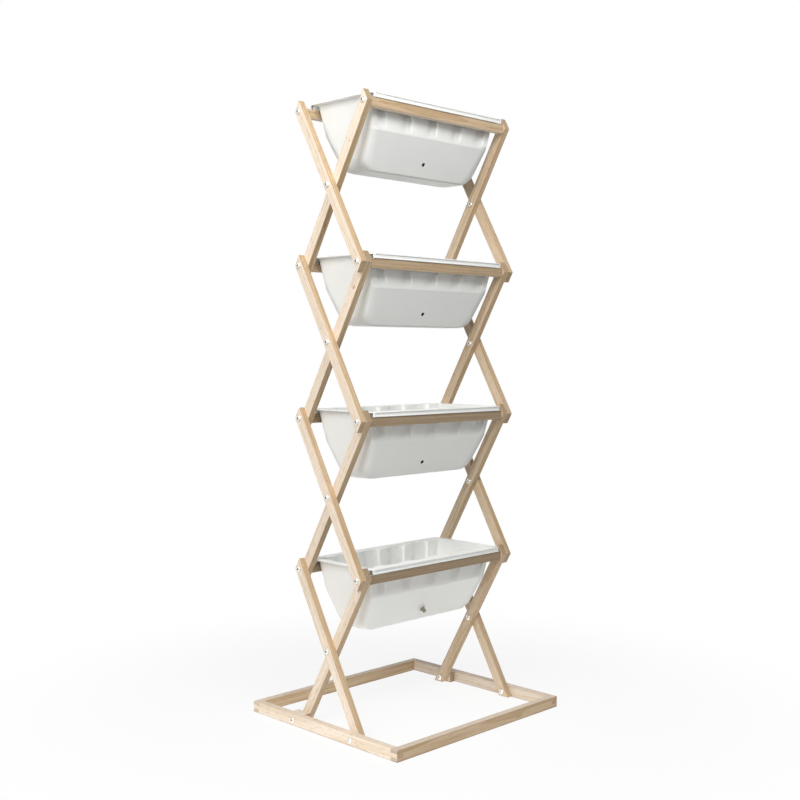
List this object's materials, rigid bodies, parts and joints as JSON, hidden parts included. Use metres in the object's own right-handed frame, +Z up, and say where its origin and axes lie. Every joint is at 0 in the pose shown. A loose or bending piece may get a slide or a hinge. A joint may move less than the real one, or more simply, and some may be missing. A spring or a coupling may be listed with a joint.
{
  "type": "vertical planter",
  "caption": "Free-standing wooden scissor-lattice stand on a flat frame, carrying a column of tapered plastic trough planters on cross rails.",
  "frame": {"origin": "on the floor, at the centre of the base frame's footprint", "axes": "+X to the right along the rails, +Y from the front (drain holes) to the back, +Z up"},
  "size_m": [0.6006, 0.524, 1.5416],
  "materials": {
    "timber": "planed pale hardwood, oiled",
    "planter_plastic": "satin white moulded plastic",
    "zinc": "bright zinc",
    "seal": "pale silicone",
    "plug": "moulded grey-beige"
  },
  "bodies": {
    "base": {"base_front_board": "timber", "base_back_board": "timber", "base_left_board": "timber", "base_right_board": "timber", "spacer_left": "timber", "spacer_right": "timber", "base_back_bolts": "zinc", "base_back_nuts": "zinc", "base_front_bolts": "zinc"},
    "inner_bars_1": {"inner_bar_left_1": "timber", "inner_bar_right_1": "timber", "cross_bolts_1": "zinc", "cross_nuts_1": "zinc"},
    "outer_bars_1": {"outer_bar_left_1": "timber", "outer_bar_right_1": "timber", "base_front_nuts": "zinc"},
    "front_rail_set_1": {"front_rail_1": "timber", "front_rail_screws_1": "zinc"},
    "back_rail_set_1": {"back_rail_1": "timber", "back_rail_screws_1": "zinc"},
    "planter_body_1": {"planter_1": "planter_plastic"},
    "inner_bars_2": {"inner_bar_left_2": "timber", "inner_bar_right_2": "timber", "cross_bolts_2": "zinc", "cross_nuts_2": "zinc"},
    "outer_bars_2": {"outer_bar_left_2": "timber", "outer_bar_right_2": "timber"},
    "front_rail_set_2": {"front_rail_2": "timber", "front_rail_screws_2": "zinc"},
    "back_rail_set_2": {"back_rail_2": "timber", "back_rail_screws_2": "zinc"},
    "planter_body_2": {"planter_2": "planter_plastic"},
    "inner_bars_3": {"inner_bar_left_3": "timber", "inner_bar_right_3": "timber", "cross_bolts_3": "zinc", "cross_nuts_3": "zinc"},
    "outer_bars_3": {"outer_bar_left_3": "timber", "outer_bar_right_3": "timber"},
    "front_rail_set_3": {"front_rail_3": "timber", "front_rail_screws_3": "zinc"},
    "back_rail_set_3": {"back_rail_3": "timber", "back_rail_screws_3": "zinc"},
    "planter_body_3": {"planter_3": "planter_plastic"},
    "inner_bars_4": {"inner_bar_left_4": "timber", "inner_bar_right_4": "timber", "cross_bolts_4": "zinc", "cross_nuts_4": "zinc"},
    "outer_bars_4": {"outer_bar_left_4": "timber", "outer_bar_right_4": "timber"},
    "front_rail_set_4": {"front_rail_4": "timber", "front_rail_screws_4": "zinc"},
    "back_rail_set_4": {"back_rail_4": "timber", "back_rail_screws_4": "zinc"},
    "planter_body_4": {"planter_4": "planter_plastic"},
    "plug": {"drain_seal": "seal", "drain_plug": "plug"}
  },
  "joints": [
    {"name": "frame_fold", "type": "hinge", "parent": "base", "child": "inner_bars_1", "pos_m": [0, 0.105, 0.014], "axis": [1, 0, 0], "range_deg": [0, 18]},
    {"name": "cross_pivot_1", "type": "hinge", "parent": "inner_bars_1", "child": "outer_bars_1", "pos_m": [0, 0, 0.20162], "axis": [1, 0, 0], "range_deg": [-36, 0]},
    {"name": "front_rail_pivot_1", "type": "hinge", "parent": "inner_bars_1", "child": "front_rail_set_1", "pos_m": [0, -0.105, 0.38923], "axis": [1, 0, 0], "range_deg": [-18, 0]},
    {"name": "back_rail_pivot_1", "type": "hinge", "parent": "outer_bars_1", "child": "back_rail_set_1", "pos_m": [0, 0.105, 0.38923], "axis": [1, 0, 0], "range_deg": [0, 18]},
    {"name": "planter_lift_1", "type": "slide", "parent": "front_rail_set_1", "child": "planter_body_1", "axis": [0, 0, 1], "range_m": [0, 0.11]},
    {"name": "back_pivot_1", "type": "hinge", "parent": "outer_bars_1", "child": "inner_bars_2", "pos_m": [0, 0.105, 0.38923], "axis": [1, 0, 0], "range_deg": [0, 36]},
    {"name": "cross_pivot_2", "type": "hinge", "parent": "inner_bars_2", "child": "outer_bars_2", "pos_m": [0, 0, 0.57685], "axis": [1, 0, 0], "range_deg": [-36, 0]},
    {"name": "front_rail_pivot_2", "type": "hinge", "parent": "inner_bars_2", "child": "front_rail_set_2", "pos_m": [0, -0.105, 0.76447], "axis": [1, 0, 0], "range_deg": [-18, 0]},
    {"name": "back_rail_pivot_2", "type": "hinge", "parent": "outer_bars_2", "child": "back_rail_set_2", "pos_m": [0, 0.105, 0.76447], "axis": [1, 0, 0], "range_deg": [0, 18]},
    {"name": "planter_lift_2", "type": "slide", "parent": "front_rail_set_2", "child": "planter_body_2", "axis": [0, 0, 1], "range_m": [0, 0.11]},
    {"name": "back_pivot_2", "type": "hinge", "parent": "outer_bars_2", "child": "inner_bars_3", "pos_m": [0, 0.105, 0.76447], "axis": [1, 0, 0], "range_deg": [0, 36]},
    {"name": "cross_pivot_3", "type": "hinge", "parent": "inner_bars_3", "child": "outer_bars_3", "pos_m": [0, 0, 0.95208], "axis": [1, 0, 0], "range_deg": [-36, 0]},
    {"name": "front_rail_pivot_3", "type": "hinge", "parent": "inner_bars_3", "child": "front_rail_set_3", "pos_m": [0, -0.105, 1.1397], "axis": [1, 0, 0], "range_deg": [-18, 0]},
    {"name": "back_rail_pivot_3", "type": "hinge", "parent": "outer_bars_3", "child": "back_rail_set_3", "pos_m": [0, 0.105, 1.1397], "axis": [1, 0, 0], "range_deg": [0, 18]},
    {"name": "planter_lift_3", "type": "slide", "parent": "front_rail_set_3", "child": "planter_body_3", "axis": [0, 0, 1], "range_m": [0, 0.11]},
    {"name": "back_pivot_3", "type": "hinge", "parent": "outer_bars_3", "child": "inner_bars_4", "pos_m": [0, 0.105, 1.1397], "axis": [1, 0, 0], "range_deg": [0, 36]},
    {"name": "cross_pivot_4", "type": "hinge", "parent": "inner_bars_4", "child": "outer_bars_4", "pos_m": [0, 0, 1.32732], "axis": [1, 0, 0], "range_deg": [-36, 0]},
    {"name": "front_rail_pivot_4", "type": "hinge", "parent": "inner_bars_4", "child": "front_rail_set_4", "pos_m": [0, -0.105, 1.51493], "axis": [1, 0, 0], "range_deg": [-18, 0]},
    {"name": "back_rail_pivot_4", "type": "hinge", "parent": "outer_bars_4", "child": "back_rail_set_4", "pos_m": [0, 0.105, 1.51493], "axis": [1, 0, 0], "range_deg": [0, 18]},
    {"name": "planter_lift_4", "type": "slide", "parent": "front_rail_set_4", "child": "planter_body_4", "axis": [0, 0, 1], "range_m": [0, 0.16]},
    {"name": "plug_pull", "type": "slide", "parent": "planter_body_1", "child": "plug", "axis": [0, -0.887, -0.4617], "range_m": [0, 0.02]}
  ],
  "couplings": [
    {"joint": "cross_pivot_1", "follows": "frame_fold", "ratio": -2},
    {"joint": "front_rail_pivot_1", "follows": "frame_fold", "ratio": -1},
    {"joint": "back_rail_pivot_1", "follows": "frame_fold", "ratio": 1},
    {"joint": "back_pivot_1", "follows": "frame_fold", "ratio": 2},
    {"joint": "cross_pivot_2", "follows": "frame_fold", "ratio": -2},
    {"joint": "front_rail_pivot_2", "follows": "frame_fold", "ratio": -1},
    {"joint": "back_rail_pivot_2", "follows": "frame_fold", "ratio": 1},
    {"joint": "back_pivot_2", "follows": "frame_fold", "ratio": 2},
    {"joint": "cross_pivot_3", "follows": "frame_fold", "ratio": -2},
    {"joint": "front_rail_pivot_3", "follows": "frame_fold", "ratio": -1},
    {"joint": "back_rail_pivot_3", "follows": "frame_fold", "ratio": 1},
    {"joint": "back_pivot_3", "follows": "frame_fold", "ratio": 2},
    {"joint": "cross_pivot_4", "follows": "frame_fold", "ratio": -2},
    {"joint": "front_rail_pivot_4", "follows": "frame_fold", "ratio": -1},
    {"joint": "back_rail_pivot_4", "follows": "frame_fold", "ratio": 1}
  ]
}
